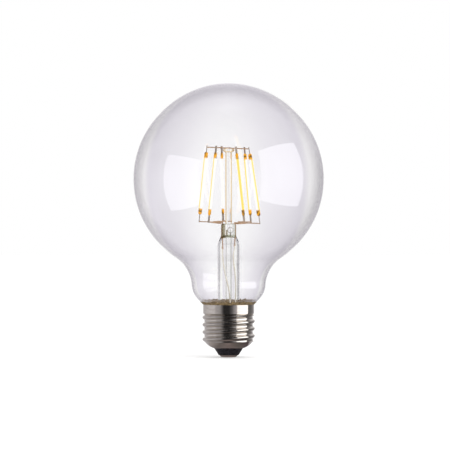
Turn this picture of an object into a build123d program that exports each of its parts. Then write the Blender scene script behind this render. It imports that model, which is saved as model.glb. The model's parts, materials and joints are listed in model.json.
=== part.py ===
from build123d import *
import math
import os

os.makedirs("parts", exist_ok=True)

# All sizes are in millimetres and all angles in degrees. The lamp stands cap down on the Z axis,
# with the origin at the bottom face of its centre contact. Its front is the -Y side.

# Globe and neck
overall_height = 136.0
globe_radius = 47.5
glass_wall = 0.7
neck_radius = 18.5
neck_hollow_radius = 17.0
shoulder_radius = 11.0
shoulder_rise = 10.2
seal_radius = 11.4
seal_corner_radius = 1.5
seal_depth = 4.6

# Screw shell of the cap
rim_height = 26.1
skirt_length = 5.0
skirt_radius = 12.75
skirt_step = 0.6
thread_crest_radius = 13.1
thread_depth = 1.05
thread_pitch = 3.629
thread_crest_height = 10.6
thread_low = 7.0
thread_runout = 1.3
thread_root_flat = 0.06
shell_sheet = 0.3
dome_radius = 8.0
dome_top = 7.8
dome_hole_radius = 7.2
dome_hole_height = 4.3

# Insulator and centre contact
insulator_top = 8.3
insulator_tip_radius = 5.0
contact_height = 1.0
contact_radius = 4.5
contact_face_radius = 3.2
eyelet_radius = 1.5
eyelet_bore_radius = 0.7
eyelet_floor = 0.6

# Cement between glass and shell
cement_start = 0.2
cement_lip = 2.7

# Glass stem
stem_radius = 5.5
stem_wall = 1.0
tube_top = 55.7
press_bottom = 60.2
press_top = 66.3
press_width = 7.5
press_depth = 5.6
press_round = 0.9
shoulder_share = 0.86
bore_end_radius = 1.9
bore_end_rise = 3.6
exhaust_radius = 1.7
exhaust_wall = 0.65
exhaust_tip = 13.6
exhaust_web = 0.5
blow_hole_radius = 1.4
blow_hole_offset = 0.9
blow_hole_drop = 3.2

# Centre post with its melted button
post_radius = 1.65
post_socket = 1.4
button_radius = 2.85
button_half_height = 1.4
wire_height_in_button = 1.0

# Cage of wires
wire_radius = 0.27
arm_radius = 0.25
bus_gap = 0.55
bus_ring_radius = 8.5
bus_tail = 14.0
top_ring_radius = 10.7
foot_ring_radius = 15.3
top_shift = -0.35
foot_shift = 0.4
top_tilt = 2.4
foot_tilt = 1.2
top_lean = 1.8
foot_lean = 3.8
vee_offset = 0.9
top_azimuths = (169.0, 237.0, 107.0, 292.0, 39.0, 349.0)
foot_azimuths = (171.0, 228.0, 102.0, 298.0, 45.0, 352.0)
foot_lifts = (0.0, 0.8, 0.0, 1.9, -0.2, 0.0)

# Filaments
gel_length = 31.5
gel_depth = 1.85
gel_width = 1.25
gel_round = 0.36
gel_round_limit = 0.45
upper_gap = 2.3
lower_gap = 3.5
tab_width = 1.0
tab_thickness = 0.25
tab_embed = 2.4
upper_tab_past = 0.9
lower_tab_past = 0.35

# Lead wires in the stem, and the share of a run that a bend takes up
lead_spacing = 6.0
lead_radius = 0.27
lead_weld_radius = 0.45
lead_weld_length = 1.2
weld_drop_left = 2.3
weld_drop_right = 0.8
sleeve_radius = 0.34
first_run = 1.5
pad_rise = 3.2
bend_share = 0.45

# Routes of the outer leads: across and forward as shares of the stem's bore, then the way down
outer_route_left = (
    (-0.61, -0.16, 0.20),
    (-0.45, -0.43, 0.38),
    (-0.20, -0.50, 0.57),
    (0.07, -0.53, 0.78),
    (0.18, -0.66, 1.00),
)
outer_route_right = (
    (0.49, -0.19, 0.14),
    (0.57, -0.20, 0.30),
    (0.71, -0.14, 0.48),
    (0.79, -0.05, 0.68),
    (0.77, 0.00, 0.86),
    (0.73, -0.06, 1.00),
)

# Driver in the cap
sleeve_clearance = 0.3
driver_sleeve_wall = 0.7
driver_sleeve_floor = 0.7
driver_sleeve_opening = 7.0
ledge_width = 1.0
ledge_height = 1.2
lip_height = 1.2
board_headroom = 3.1
board_thickness = 1.0
board_clearance = 0.15
board_hole_radius = 2.2
capacitor_radius = 2.9
capacitor_floor_gap = 2.3
capacitor_round = 0.4
capacitor_offset = 5.5
rectifier_length = 4.7
rectifier_width = 3.6
rectifier_height = 1.5
rectifier_place = (4.4, 4.6)
regulator_length = 4.9
regulator_width = 3.9
regulator_height = 1.4
regulator_place = (0.0, 6.2)
chip_length = 3.2
chip_width = 1.6
chip_height = 0.55
chip_spacing = 2.6
chip_offset = 5.8
resistor_radius = 1.2
resistor_floor_gap = 2.4
resistor_neck = 0.7
resistor_round = 0.5
resistor_place = (5.6, -2.6)
driver_wire_radius = 0.3
outer_lead_pad_left = (1.0, -5.2)
outer_lead_pad_right = (5.2, -1.0)
shell_lead_place = 8.6
shell_lead_gap = 0.02
contact_lead_rise = 1.6

# Heights and radii that follow from the sizes above
globe_centre = Vector(0, overall_height - globe_radius)
shoulder_centre = Vector(neck_radius - shoulder_radius, rim_height + shoulder_rise)
seal_height = rim_height - seal_depth
core_radius = thread_crest_radius - thread_depth + thread_root_flat
core_bore = core_radius - shell_sheet
skirt_bore = skirt_radius - shell_sheet
skirt_bottom = rim_height - skirt_length
bus_height = press_top + bus_gap
filament_span = upper_gap + gel_length + lower_gap
cage_height = math.sqrt(filament_span**2 - (foot_ring_radius - top_ring_radius) ** 2)
top_height = bus_height + cage_height
board_top = seal_height - stem_wall - board_headroom
board_bottom = board_top - board_thickness
driver_sleeve_radius = core_bore - sleeve_clearance
driver_sleeve_bore = driver_sleeve_radius - driver_sleeve_wall
driver_floor = insulator_top + driver_sleeve_floor
driver_room = board_bottom - driver_floor
capacitor_length = driver_room - capacitor_floor_gap
resistor_length = driver_room - resistor_floor_gap - resistor_neck


# Helpers for outlines and wires


def circle_crossing(centre_a, radius_a, centre_b, radius_b):
    """Where two circles cross, on the side away from the axis."""
    apart = centre_b - centre_a
    along = (apart.length**2 + radius_a**2 - radius_b**2) / (2 * apart.length)
    across = math.sqrt(radius_a**2 - along**2)
    direction = apart.normalized()
    sideways = Vector(-direction.Y, direction.X)
    first = centre_a + direction * along + sideways * across
    second = centre_a + direction * along - sideways * across
    return first if first.X > second.X else second


def on_circle(centre, radius, toward):
    """The point of a circle that lies toward another point."""
    return centre + (toward - centre).normalized() * radius


def arc_about(centre, start, end):
    """Draws the shorter arc from start to end about a centre."""
    middle_way = (start - centre).normalized() + (end - centre).normalized()
    middle = centre + middle_way.normalized() * (start - centre).length
    ThreePointArc(start, middle, end)


def arc_centre(start, end, radius):
    """Centre of an arc through two points, on the left of the line between them."""
    half = (end - start) * 0.5
    reach = math.sqrt(radius**2 - half.length**2)
    return start + half + Vector(-half.Y, half.X).normalized() * reach


def height_on(centre, radius, distance):
    """Height of the lower side of a circle at a distance from the axis."""
    return centre.Y - math.sqrt(radius**2 - (distance - centre.X) ** 2)


def rod(start, end, radius):
    """Adds a straight round wire between two points."""
    with BuildSketch(Plane(origin=start, z_dir=end - start)) as section:
        Circle(radius)
    extrude(section.sketch, amount=(end - start).length)


def bend_radii(points):
    """The largest even bend for each corner of a wire's route."""
    radii = []
    for before, corner, after in zip(points, points[1:], points[2:]):
        turn = (corner - before).get_angle(after - corner)
        shorter = min((corner - before).length, (after - corner).length)
        radii.append(bend_share * shorter / math.tan(math.radians(turn / 2)))
    return radii


def wire_along(points, radius):
    """Adds a round wire along straight runs joined by tangent arcs."""
    with BuildLine() as route:
        FilletPolyline(*points, radius=bend_radii(points))
    with BuildSketch(Plane(origin=points[0], z_dir=points[1] - points[0])) as section:
        Circle(radius)
    sweep(section.sketch, path=route.line)


def tilted_plane(shift, height, tilt, lean):
    """A nearly level plane that leans down toward +X by its tilt and toward -Y by its lean."""
    fall_right = math.tan(math.radians(tilt))
    fall_front = math.tan(math.radians(lean))
    return Plane(origin=(shift, 0, height), x_dir=(1, 0, -fall_right), z_dir=(fall_right, -fall_front, 1))


def ring_point(plane, radius, azimuth, lift=0.0):
    """A point of a ring in a tilted plane, lifted off it if asked."""
    angle = math.radians(azimuth)
    return plane.from_local_coords(Vector(radius * math.cos(angle), radius * math.sin(angle), lift))


# Glass globe
hollow_centre = circle_crossing(
    globe_centre, globe_radius + neck_hollow_radius, shoulder_centre, shoulder_radius + neck_hollow_radius
)
seal_corner_x = seal_radius + seal_corner_radius
seal_corner_centre = Vector(
    seal_corner_x, height_on(shoulder_centre, shoulder_radius + seal_corner_radius, seal_corner_x)
)


def draw_glass_side(inset):
    """Draws one side of the glass wall, from the top of the globe to the sealed end."""
    top = globe_centre + Vector(0, globe_radius - inset)
    globe_end = on_circle(globe_centre, globe_radius - inset, hollow_centre)
    hollow_end = on_circle(shoulder_centre, shoulder_radius - inset, hollow_centre)
    shoulder_end = on_circle(shoulder_centre, shoulder_radius - inset, seal_corner_centre)
    corner_end = Vector(seal_radius - inset, seal_corner_centre.Y)
    sealed_end = Vector(seal_radius - inset, seal_height)
    arc_about(globe_centre, top, globe_end)
    arc_about(hollow_centre, globe_end, hollow_end)
    arc_about(shoulder_centre, hollow_end, shoulder_end)
    arc_about(seal_corner_centre, shoulder_end, corner_end)
    Line(corner_end, sealed_end)
    return top, sealed_end


with BuildPart() as globe:
    with BuildSketch(Plane.XZ):
        with BuildLine():
            outer_top, outer_end = draw_glass_side(0.0)
            inner_top, inner_end = draw_glass_side(glass_wall)
            Line(outer_top, inner_top)
            Line(outer_end, inner_end)
        make_face()
    revolve(axis=Axis.Z)
globe.part.label = "glass_globe"
export_step(globe.part, "parts/glass_globe.step")


# Screw shell: a thin sheet with a rolled right hand thread
thread_arc = ((thread_pitch / 2) ** 2 + thread_depth**2) / (4 * thread_depth)
thread_root_radius = thread_crest_radius - thread_depth
thread_high = skirt_bottom + skirt_step
turns_below = math.ceil((thread_crest_height - thread_low) / thread_pitch) + 1
thread_start = thread_crest_height - turns_below * thread_pitch
thread_height = thread_high + thread_pitch - thread_start
dome_start = Vector(dome_hole_radius, dome_hole_height)
dome_end = Vector(core_radius, dome_top)
dome_centre = arc_centre(dome_start, dome_end, dome_radius)
dome_bore_radius = dome_radius - shell_sheet
dome_bore_start = Vector(dome_hole_radius, height_on(dome_centre, dome_bore_radius, dome_hole_radius))
dome_bore_end = Vector(core_bore, height_on(dome_centre, dome_bore_radius, core_bore))


def add_shell_body(inset, dome_from, dome_to, core, skirt):
    """Adds the shell's form without its thread, down to the axis."""
    step_angle = math.atan2(skirt_radius - core_radius, skirt_step)
    step_shift = inset * math.tan(step_angle / 2)
    with BuildSketch(Plane.XZ) as outline:
        with BuildLine():
            Line((0, dome_from.Y), dome_from)
            arc_about(dome_centre, dome_from, dome_to)
            Polyline(
                dome_to,
                (core, skirt_bottom + step_shift),
                (skirt, skirt_bottom + skirt_step + step_shift),
                (skirt, rim_height),
                (0, rim_height),
                (0, dome_from.Y),
            )
        make_face()
    revolve(outline.sketch, axis=Axis.Z)


def make_thread_ridge(inset, core):
    """The rounded ridge of the thread, which fades out at both ends."""
    crest = thread_crest_radius - inset
    crest_arc = thread_arc - inset
    root_arc = thread_arc + inset
    crest_centre = Vector(crest - crest_arc, 0)
    half_foot = thread_pitch / 2 - math.sqrt(root_arc**2 - (root_arc - thread_root_flat) ** 2)
    foot_depth = core - 2 * shell_sheet
    limit_radius = foot_depth - shell_sheet
    sides = []
    for side in (1, -1):
        root_centre = Vector(thread_root_radius - inset + root_arc, side * thread_pitch / 2)
        sides.append((root_centre, on_circle(crest_centre, crest_arc, root_centre), side * half_foot))
    start_plane = Plane(origin=(0, 0, thread_start), x_dir=(1, 0, 0), z_dir=(0, -1, 0))
    with BuildSketch(start_plane) as section:
        with BuildLine():
            for root_centre, flank, foot in sides:
                arc_about(root_centre, Vector(core, foot), flank)
                Line((core, foot), (foot_depth, foot))
            ThreePointArc(sides[0][1], (crest, 0), sides[1][1])
            Line((foot_depth, sides[0][2]), (foot_depth, sides[1][2]))
        make_face()
    with BuildLine() as spiral:
        Helix(thread_pitch, thread_height, crest, (0, 0, thread_start))
    with BuildPart() as ridge:
        sweep(section.sketch, path=spiral.line, is_frenet=True)
        with BuildSketch(Plane.XZ) as limits:
            with BuildLine():
                Polyline(
                    (0, thread_low + inset),
                    (limit_radius, thread_low + inset),
                    (crest + thread_depth, thread_low + thread_runout + inset),
                    (crest + thread_depth, thread_high - thread_runout - inset),
                    (limit_radius, thread_high - inset),
                    (0, thread_high - inset),
                    close=True,
                )
            make_face()
        revolve(limits.sketch, axis=Axis.Z, mode=Mode.INTERSECT)
    return ridge.part


outer_ridge = make_thread_ridge(0.0, core_radius)
inner_ridge = make_thread_ridge(shell_sheet, core_bore)

with BuildPart() as shell_space:
    add_shell_body(shell_sheet, dome_bore_start, dome_bore_end, core_bore, skirt_bore)
    add(inner_ridge)
with BuildPart() as screw_shell:
    add_shell_body(0.0, dome_start, dome_end, core_radius, skirt_radius)
    add(outer_ridge)
    add(shell_space.part, mode=Mode.SUBTRACT)
    with BuildSketch(Plane.XY.offset(dome_hole_height)):
        Circle(dome_hole_radius)
    extrude(amount=shell_sheet * 2, both=True, mode=Mode.SUBTRACT)
screw_shell.part.label = "screw_shell"
export_step(screw_shell.part, "parts/screw_shell.step")


# Black insulator in the bottom of the shell
with BuildPart() as insulator:
    with BuildSketch(Plane.XZ):
        with BuildLine():
            arc_about(dome_centre, dome_bore_start, dome_bore_end)
            Polyline(
                dome_bore_end,
                (core_bore, insulator_top),
                (eyelet_radius, insulator_top),
                (eyelet_radius, contact_height),
                (insulator_tip_radius, contact_height),
                dome_start,
                dome_bore_start,
            )
        make_face()
    revolve(axis=Axis.Z)
insulator.part.label = "cap_insulator"
export_step(insulator.part, "parts/cap_insulator.step")


# Centre contact with its eyelet
with BuildPart() as contact:
    with BuildSketch(Plane.XZ):
        with BuildLine():
            TangentArc((contact_face_radius, 0), (contact_radius, contact_height), tangent=(1, 0))
            Polyline(
                (contact_radius, contact_height),
                (eyelet_radius, contact_height),
                (eyelet_radius, insulator_top),
                (eyelet_bore_radius, insulator_top),
                (eyelet_bore_radius, eyelet_floor),
                (0, eyelet_floor),
                (0, 0),
                (contact_face_radius, 0),
            )
        make_face()
    revolve(axis=Axis.Z)
contact.part.label = "centre_contact"
export_step(contact.part, "parts/centre_contact.step")


# Cement between glass and shell, with a lip above the rim
cement_bottom = skirt_bottom + skirt_step + cement_start
cement_top = rim_height + cement_lip
lip_radius = shoulder_centre.X + math.sqrt(shoulder_radius**2 - (shoulder_centre.Y - cement_top) ** 2)
with BuildPart() as cement:
    with BuildSketch(Plane.XZ):
        with BuildLine():
            Polyline(
                (seal_radius / 2, cement_bottom),
                (skirt_bore, cement_bottom),
                (skirt_bore, rim_height),
                (skirt_radius, rim_height),
                (lip_radius, cement_top),
                (seal_radius / 2, cement_top),
                close=True,
            )
        make_face()
        with BuildLine():
            glass_top, glass_end = draw_glass_side(0.0)
            Polyline(glass_end, (seal_radius, 0), (0, 0), glass_top)
        make_face(mode=Mode.SUBTRACT)
    revolve(axis=Axis.Z)
cement.part.label = "cap_cement"
export_step(cement.part, "parts/cap_cement.step")


# Filaments with their end tabs
top_plane = tilted_plane(top_shift, top_height, top_tilt, top_lean)
foot_plane = tilted_plane(foot_shift, bus_height, foot_tilt, foot_lean)
tops = [ring_point(top_plane, top_ring_radius, azimuth) for azimuth in top_azimuths]
feet = [
    ring_point(foot_plane, foot_ring_radius, azimuth, lift)
    for azimuth, lift in zip(foot_azimuths, foot_lifts)
]


def make_tab(plane, start, end):
    """A flat tab along a filament's axis, its face turned to the lamp's axis."""
    with BuildPart() as tab:
        with BuildSketch(plane.offset(start)):
            Rectangle(tab_thickness, tab_width)
        extrude(amount=end - start)
    return tab.part


tightest_curve = gel_width**2 / gel_depth
upper_tabs = []
lower_tabs = []
for number, (top, foot) in enumerate(zip(tops, feet), start=1):
    upward = (top - foot).normalized()
    outward = Vector(top.X + foot.X - top_shift - foot_shift, top.Y + foot.Y, 0)
    sideways = upward.cross(outward).normalized()
    stick = Plane(origin=top, x_dir=sideways.cross(upward), z_dir=upward)
    gel_top = -upper_gap
    gel_bottom = gel_top - gel_length
    foot_place = -(top - foot).length

    upper_tab = make_tab(stick, gel_top - tab_embed, upper_tab_past)
    upper_tab.label = f"upper_tab_{number}"
    export_step(upper_tab, f"parts/upper_tab_{number}.step")
    upper_tabs.append(upper_tab)

    lower_tab = make_tab(stick, foot_place - lower_tab_past, gel_bottom + tab_embed)
    lower_tab.label = f"lower_tab_{number}"
    export_step(lower_tab, f"parts/lower_tab_{number}.step")
    lower_tabs.append(lower_tab)

    with BuildPart() as filament:
        with BuildSketch(stick.offset(gel_bottom)):
            Ellipse(gel_depth / 2, gel_width / 2)
        extrude(amount=gel_length)
        fillet(filament.edges().filter_by(GeomType.ELLIPSE), min(gel_round, gel_round_limit * tightest_curve))
        add(upper_tab, mode=Mode.SUBTRACT)
        add(lower_tab, mode=Mode.SUBTRACT)
    filament.part.label = f"filament_{number}"
    export_step(filament.part, f"parts/filament_{number}.step")


# Support wires held in the glass button
with BuildPart() as cross_wire:
    rod(tops[0], tops[5], wire_radius)
    add(upper_tabs[0], mode=Mode.SUBTRACT)
    add(upper_tabs[5], mode=Mode.SUBTRACT)
cross_wire.part.label = "top_cross_wire"
export_step(cross_wire.part, "parts/top_cross_wire.step")

vee_wires = []
for name, side, first, second in (("top_front_wire", -1, 1, 3), ("top_back_wire", 1, 2, 4)):
    corner = top_plane.from_local_coords(Vector(0, side * vee_offset, 0))
    with BuildPart() as vee_wire:
        rod(corner, tops[first], wire_radius)
        rod(corner, tops[second], wire_radius)
        with Locations(corner):
            Sphere(wire_radius)
        add(upper_tabs[first], mode=Mode.SUBTRACT)
        add(upper_tabs[second], mode=Mode.SUBTRACT)
    vee_wire.part.label = name
    export_step(vee_wire.part, f"parts/{name}.step")
    vee_wires.append(vee_wire.part)


# Lead wires through the press, each ending in a weld inside the stem
lead_tops = {}
lead_ends = {}
leads = {}
for name, side, drop in (("left", -1, weld_drop_left), ("right", 1, weld_drop_right)):
    lead_x = side * lead_spacing / 2
    lead_tops[name] = foot_plane.from_local_coords(Vector(lead_x - foot_shift, 0, 0))
    lead_ends[name] = Vector(lead_x, 0, tube_top - drop)
    with BuildPart() as lead:
        rod(lead_ends[name], lead_tops[name] + Vector(0, 0, wire_radius), lead_radius)
        rod(lead_ends[name], lead_ends[name] + Vector(0, 0, lead_weld_length), lead_weld_radius)
    lead.part.label = f"lead_{name}"
    export_step(lead.part, f"parts/lead_{name}.step")
    leads[name] = lead.part


# Lower wires: part of a ring with three arms out to the filaments' feet
for name, first, along, last in (("left", 2, 0, 1), ("right", 3, 5, 4)):
    first_angle = foot_azimuths[first] - bus_tail
    last_angle = foot_azimuths[last] + bus_tail
    sweep_angle = (last_angle - first_angle) % 360
    with BuildLine(foot_plane) as ring_line:
        CenterArc((0, 0), bus_ring_radius, first_angle, sweep_angle)
    with BuildPart() as bus:
        with BuildSketch(Plane(origin=ring_line.line @ 0, z_dir=ring_line.line % 0)) as ring_section:
            Circle(wire_radius)
        sweep(ring_section.sketch, path=ring_line.line)
        rod(lead_tops[name], feet[along], arm_radius)
        for index in (first, last):
            rod(ring_point(foot_plane, bus_ring_radius, foot_azimuths[index]), feet[index], arm_radius)
        add(leads[name], mode=Mode.SUBTRACT)
        for index in (first, along, last):
            add(lower_tabs[index], mode=Mode.SUBTRACT)
    bus.part.label = f"lower_bus_{name}"
    export_step(bus.part, f"parts/lower_bus_{name}.step")


# Centre post: a glass rod with a melted button that holds the top wires
button_height = top_height - wire_height_in_button
post_bottom = press_top - post_socket
with BuildPart() as post:
    with BuildSketch(Plane.XZ):
        with Locations((0, button_height)):
            Ellipse(button_radius, button_half_height)
        with Locations((0, post_bottom)):
            Rectangle(2 * post_radius, button_height - post_bottom, align=(Align.CENTER, Align.MIN))
        split(bisect_by=Plane.YZ)
    revolve(axis=Axis.Z)
    add(cross_wire.part, mode=Mode.SUBTRACT)
    for vee_part in vee_wires:
        add(vee_part, mode=Mode.SUBTRACT)
post.part.label = "centre_post"
export_step(post.part, "parts/centre_post.step")


# Exhaust tube, closed at its tip inside the cap
exhaust_bore = exhaust_radius - exhaust_wall
blow_height = press_top - blow_hole_drop
exhaust_top = blow_height - blow_hole_radius - exhaust_web
with BuildPart() as exhaust:
    with BuildSketch(Plane.XZ):
        with BuildLine():
            Line((0, exhaust_tip), (0, exhaust_tip + exhaust_wall))
            arc_about(
                Vector(0, exhaust_tip + exhaust_radius),
                Vector(0, exhaust_tip + exhaust_wall),
                Vector(exhaust_bore, exhaust_tip + exhaust_radius),
            )
            Polyline(
                (exhaust_bore, exhaust_tip + exhaust_radius),
                (exhaust_bore, exhaust_top),
                (exhaust_radius, exhaust_top),
                (exhaust_radius, exhaust_tip + exhaust_radius),
            )
            arc_about(
                Vector(0, exhaust_tip + exhaust_radius),
                Vector(exhaust_radius, exhaust_tip + exhaust_radius),
                Vector(0, exhaust_tip),
            )
        make_face()
    revolve(axis=Axis.Z)
exhaust.part.label = "exhaust_tube"
export_step(exhaust.part, "parts/exhaust_tube.step")


# Stem: a glass tube with a flared foot, drawn in to a flat press at its top
stem_bore = stem_radius - stem_wall
flare_rim = seal_radius - glass_wall
flare_top = seal_height + flare_rim - stem_radius
flare_centre = Vector(flare_rim, flare_top)
flare_under = seal_height - stem_wall
bore_end = tube_top + bore_end_rise
with BuildPart() as stem:
    with BuildSketch(Plane.XZ):
        with BuildLine():
            arc_about(flare_centre, Vector(stem_radius, flare_top), Vector(flare_rim, seal_height))
            Polyline(
                (flare_rim, seal_height),
                (seal_radius, seal_height),
                (seal_radius, flare_under),
                (0, flare_under),
                (0, tube_top),
                (stem_radius, tube_top),
                (stem_radius, flare_top),
            )
        make_face()
    revolve(axis=Axis.Z)
    with BuildSketch(Plane.XY.offset(tube_top)):
        Circle(stem_radius)
    with BuildSketch(Plane.XY.offset((tube_top + press_bottom) / 2)):
        Ellipse(stem_radius * shoulder_share, (stem_radius + press_depth / 2) / 2 * shoulder_share)
    with BuildSketch(Plane.XY.offset(press_bottom)):
        Ellipse(press_width / 2, press_depth / 2)
    loft()
    with BuildSketch(Plane.XY.offset(press_bottom)):
        Ellipse(press_width / 2, press_depth / 2)
    extrude(amount=press_top - press_bottom)
    fillet(stem.faces().sort_by(Axis.Z)[-1].edges(), press_round)
    with BuildSketch(Plane.XZ):
        with BuildLine():
            arc_about(flare_centre, Vector(stem_bore, flare_top), Vector(flare_rim, flare_under))
            Polyline(
                (flare_rim, flare_under),
                (0, flare_under),
                (0, bore_end),
                (bore_end_radius, bore_end),
                (stem_bore, tube_top),
                (stem_bore, flare_top),
            )
        make_face()
    revolve(axis=Axis.Z, mode=Mode.SUBTRACT)
    with BuildSketch(Plane.XY.offset(exhaust_top)):
        Circle(exhaust_radius)
    extrude(amount=tube_top - exhaust_top, mode=Mode.SUBTRACT)
    with BuildSketch(Plane.XY.offset(exhaust_top)):
        Circle(exhaust_bore)
    extrude(amount=blow_height - exhaust_top, mode=Mode.SUBTRACT)
    with BuildSketch(Plane.XZ):
        with Locations((blow_hole_offset, blow_height)):
            Circle(blow_hole_radius)
    extrude(amount=press_depth, mode=Mode.SUBTRACT)
    for lead_part in leads.values():
        add(lead_part, mode=Mode.SUBTRACT)
    add(post.part, mode=Mode.SUBTRACT)
stem.part.label = "stem_flare"
export_step(stem.part, "parts/stem_flare.step")


# Outer leads: sleeved wires from the welds down through the stem to the board
for name, route, pad in (
    ("left", outer_route_left, outer_lead_pad_left),
    ("right", outer_route_right, outer_lead_pad_right),
):
    start = lead_ends[name]
    points = [start, start - Vector(0, 0, first_run)]
    for across, forward, way_down in route:
        height = start.Z + (flare_top - start.Z) * way_down
        points.append(Vector(across * stem_bore, forward * stem_bore, height))
    points.append(Vector(pad[0], pad[1], board_top + pad_rise))
    points.append(Vector(pad[0], pad[1], board_top))
    with BuildPart() as outer_lead:
        wire_along(points, sleeve_radius)
    outer_lead.part.label = f"outer_lead_{name}"
    export_step(outer_lead.part, f"parts/outer_lead_{name}.step")


# Plastic sleeve that carries the driver board on a ledge
driver_sleeve_top = board_top + lip_height
ledge_radius = driver_sleeve_bore - ledge_width
with BuildPart() as driver_sleeve:
    with BuildSketch(Plane.XZ):
        with BuildLine():
            Polyline(
                (driver_sleeve_opening, insulator_top),
                (driver_sleeve_radius, insulator_top),
                (driver_sleeve_radius, driver_sleeve_top),
                (driver_sleeve_bore, driver_sleeve_top),
                (driver_sleeve_bore, board_bottom),
                (ledge_radius, board_bottom),
                (ledge_radius, board_bottom - ledge_height),
                (driver_sleeve_bore, board_bottom - ledge_height),
                (driver_sleeve_bore, driver_floor),
                (driver_sleeve_opening, driver_floor),
                close=True,
            )
        make_face()
    revolve(axis=Axis.Z)
driver_sleeve.part.label = "driver_sleeve"
export_step(driver_sleeve.part, "parts/driver_sleeve.step")


# Driver board and the parts on it
with BuildPart() as board:
    with BuildSketch(Plane.XY.offset(board_bottom)):
        Circle(driver_sleeve_bore - board_clearance)
        Circle(board_hole_radius, mode=Mode.SUBTRACT)
    extrude(amount=board_thickness)
board.part.label = "driver_board"
export_step(board.part, "parts/driver_board.step")

with BuildPart() as capacitor:
    with BuildSketch(Plane.XY.offset(board_bottom - capacitor_length)):
        with Locations((-capacitor_offset, 0)):
            Circle(capacitor_radius)
    extrude(amount=capacitor_length)
    fillet(capacitor.edges().sort_by(Axis.Z)[0], capacitor_round)
capacitor.part.label = "smoothing_capacitor"
export_step(capacitor.part, "parts/smoothing_capacitor.step")

with BuildPart() as rectifier:
    with BuildSketch(Plane.XY.offset(board_bottom - rectifier_height)):
        with Locations(rectifier_place):
            Rectangle(rectifier_length, rectifier_width)
    extrude(amount=rectifier_height)
rectifier.part.label = "bridge_rectifier"
export_step(rectifier.part, "parts/bridge_rectifier.step")

with BuildPart() as regulator:
    with BuildSketch(Plane.XY.offset(board_top)):
        with Locations(regulator_place):
            Rectangle(regulator_length, regulator_width)
    extrude(amount=regulator_height)
regulator.part.label = "current_regulator"
export_step(regulator.part, "parts/current_regulator.step")

with BuildPart() as chips:
    with BuildSketch(Plane.XY.offset(board_top)):
        with Locations((-chip_offset, chip_spacing / 2), (-chip_offset, -chip_spacing / 2)):
            Rectangle(chip_length, chip_width)
    extrude(amount=chip_height)
chips.part.label = "sense_resistors"
export_step(chips.part, "parts/sense_resistors.step")

resistor_top = Vector(resistor_place[0], resistor_place[1], board_bottom)
body_top = resistor_top - Vector(0, 0, resistor_neck)
body_bottom = body_top - Vector(0, 0, resistor_length)
with BuildPart() as resistor:
    rod(body_bottom, body_top, resistor_radius)
    fillet(resistor.edges().filter_by(GeomType.CIRCLE), resistor_round)
    rod(body_top, resistor_top, driver_wire_radius)
resistor.part.label = "fusible_resistor"
export_step(resistor.part, "parts/fusible_resistor.step")


# Wires from the driver to the centre contact and to the shell
turn_height = insulator_top + contact_lead_rise
with BuildPart() as contact_lead:
    wire_along(
        [
            body_bottom,
            Vector(body_bottom.X, body_bottom.Y, turn_height),
            Vector(0, 0, turn_height),
            Vector(0, 0, eyelet_floor),
        ],
        driver_wire_radius,
    )
contact_lead.part.label = "contact_lead"
export_step(contact_lead.part, "parts/contact_lead.step")

shell_lead_height = driver_sleeve_top + sleeve_clearance + driver_wire_radius
with BuildPart() as shell_lead:
    wire_along(
        [
            Vector(shell_lead_place, 0, board_top),
            Vector(shell_lead_place, 0, shell_lead_height),
            Vector(core_bore - shell_lead_gap, 0, shell_lead_height),
        ],
        driver_wire_radius,
    )
shell_lead.part.label = "shell_lead"
export_step(shell_lead.part, "parts/shell_lead.step")
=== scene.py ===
import bpy
import json
import math
import numpy as np
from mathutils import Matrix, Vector, noise

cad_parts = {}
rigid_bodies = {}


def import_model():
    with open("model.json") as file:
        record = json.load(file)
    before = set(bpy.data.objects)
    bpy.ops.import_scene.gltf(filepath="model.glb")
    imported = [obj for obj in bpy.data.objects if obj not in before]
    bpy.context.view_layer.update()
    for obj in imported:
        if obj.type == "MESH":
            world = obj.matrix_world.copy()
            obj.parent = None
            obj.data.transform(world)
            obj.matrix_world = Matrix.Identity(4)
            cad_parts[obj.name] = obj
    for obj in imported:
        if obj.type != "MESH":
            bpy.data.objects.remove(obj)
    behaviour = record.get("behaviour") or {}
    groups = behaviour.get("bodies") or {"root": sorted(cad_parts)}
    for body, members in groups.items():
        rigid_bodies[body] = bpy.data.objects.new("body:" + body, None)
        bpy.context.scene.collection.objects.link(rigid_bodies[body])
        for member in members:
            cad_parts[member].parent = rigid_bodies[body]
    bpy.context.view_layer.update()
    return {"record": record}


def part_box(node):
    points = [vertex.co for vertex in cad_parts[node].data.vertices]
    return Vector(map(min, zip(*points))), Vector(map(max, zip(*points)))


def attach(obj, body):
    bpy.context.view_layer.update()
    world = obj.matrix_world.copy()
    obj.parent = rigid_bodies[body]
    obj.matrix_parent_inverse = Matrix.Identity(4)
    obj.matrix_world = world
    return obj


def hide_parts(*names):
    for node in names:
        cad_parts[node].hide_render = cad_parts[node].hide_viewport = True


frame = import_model()
record = frame["record"]

# Lengths are in millimetres until a mesh is made, and angles in degrees. The front is the -Y side.
mm = 0.001


def node_box(node):
    """Lowest and highest corner of a node in millimetres."""
    low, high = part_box(node)
    return Vector(low) / mm, Vector(high) / mm


globe_low, globe_high = node_box("glass_globe")
shell_low, shell_high = node_box("screw_shell")
cement_low, cement_high = node_box("cap_cement")
stem_low, stem_high = node_box("stem_flare")
exhaust_low, exhaust_high = node_box("exhaust_tube")
post_high = node_box("centre_post")[1]

# Globe and neck
globe_radius = globe_high.x
globe_top = globe_high.z
glass_wall = 0.7
neck_radius = 18.5
neck_hollow_radius = 17.0
shoulder_radius = 11.0
shoulder_rise = 10.2
seal_radius = 11.4
seal_corner_radius = 1.5
seal_height = globe_low.z
rim_height = shell_high.z

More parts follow.
